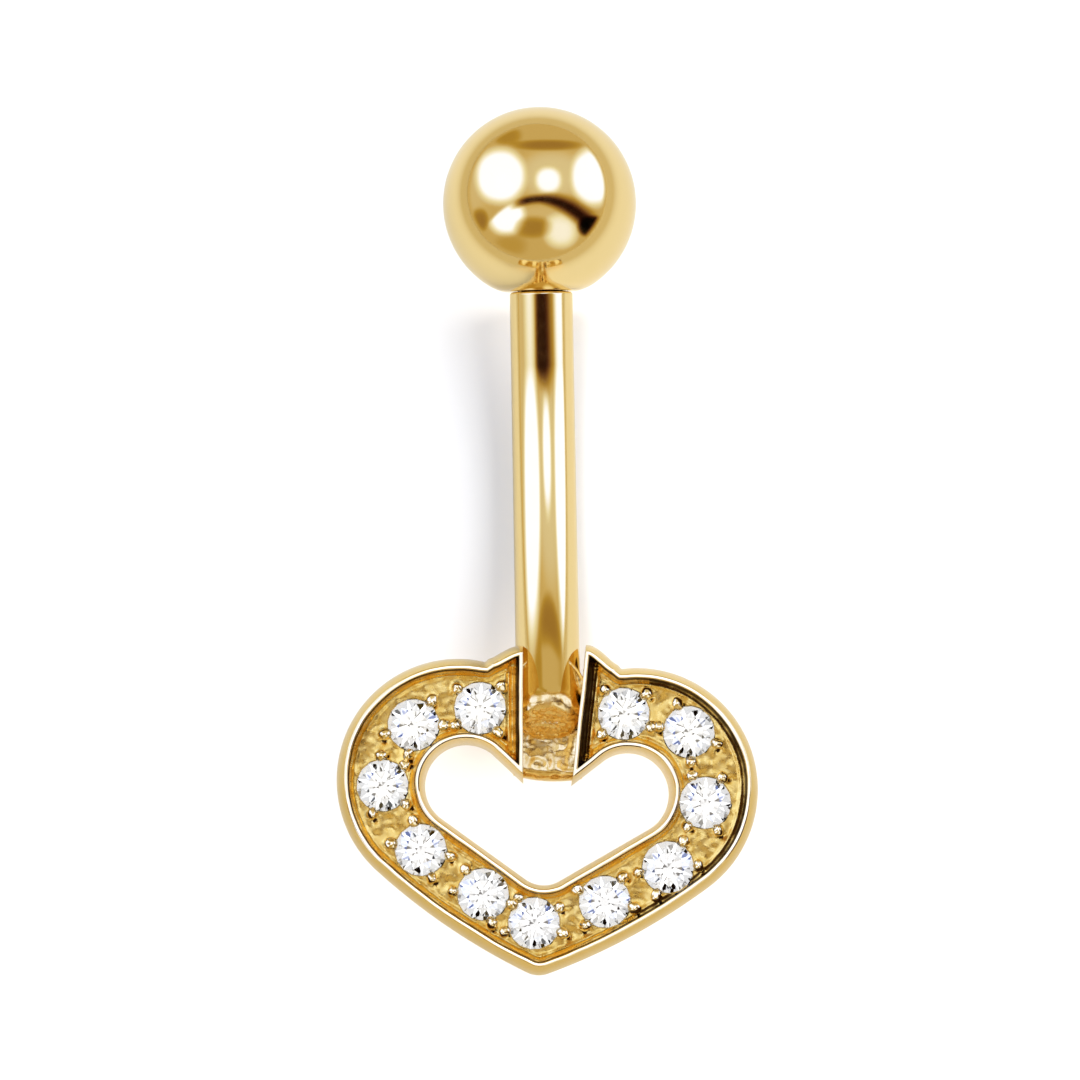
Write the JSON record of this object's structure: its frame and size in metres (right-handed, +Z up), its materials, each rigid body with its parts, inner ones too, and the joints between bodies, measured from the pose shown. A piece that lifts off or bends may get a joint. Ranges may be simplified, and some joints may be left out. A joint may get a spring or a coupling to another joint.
{
  "type": "navel ring",
  "caption": "Curved gold barbell for a navel piercing, with a screw-on ball at one end and an open heart set with clear round stones at the other.",
  "frame": {"origin": "centre of the ring's footprint, on the surface that it lies on", "axes": "+Y from the heart's tip towards the ball, +Z up out of the heart's face, +X to the right of them"},
  "size_m": [0.0106, 0.0226, 0.005],
  "materials": {
    "gold": "polished yellow gold, with a grainy floor between the stones",
    "clear_stone": "brilliant-cut, polished"
  },
  "bodies": {
    "barbell": {"heart_barbell": "gold", "stone_01": "clear_stone", "stone_02": "clear_stone", "stone_03": "clear_stone", "stone_04": "clear_stone", "stone_05": "clear_stone", "stone_06": "clear_stone", "stone_07": "clear_stone", "stone_08": "clear_stone", "stone_09": "clear_stone", "stone_10": "clear_stone", "stone_11": "clear_stone"},
    "ball": {"ball": "gold"}
  },
  "joints": [
    {"name": "ball_unscrew", "type": "slide", "parent": "barbell", "child": "ball", "axis": [0, 0.9602, 0.2794], "range_m": [0, 0.0032]}
  ]
}
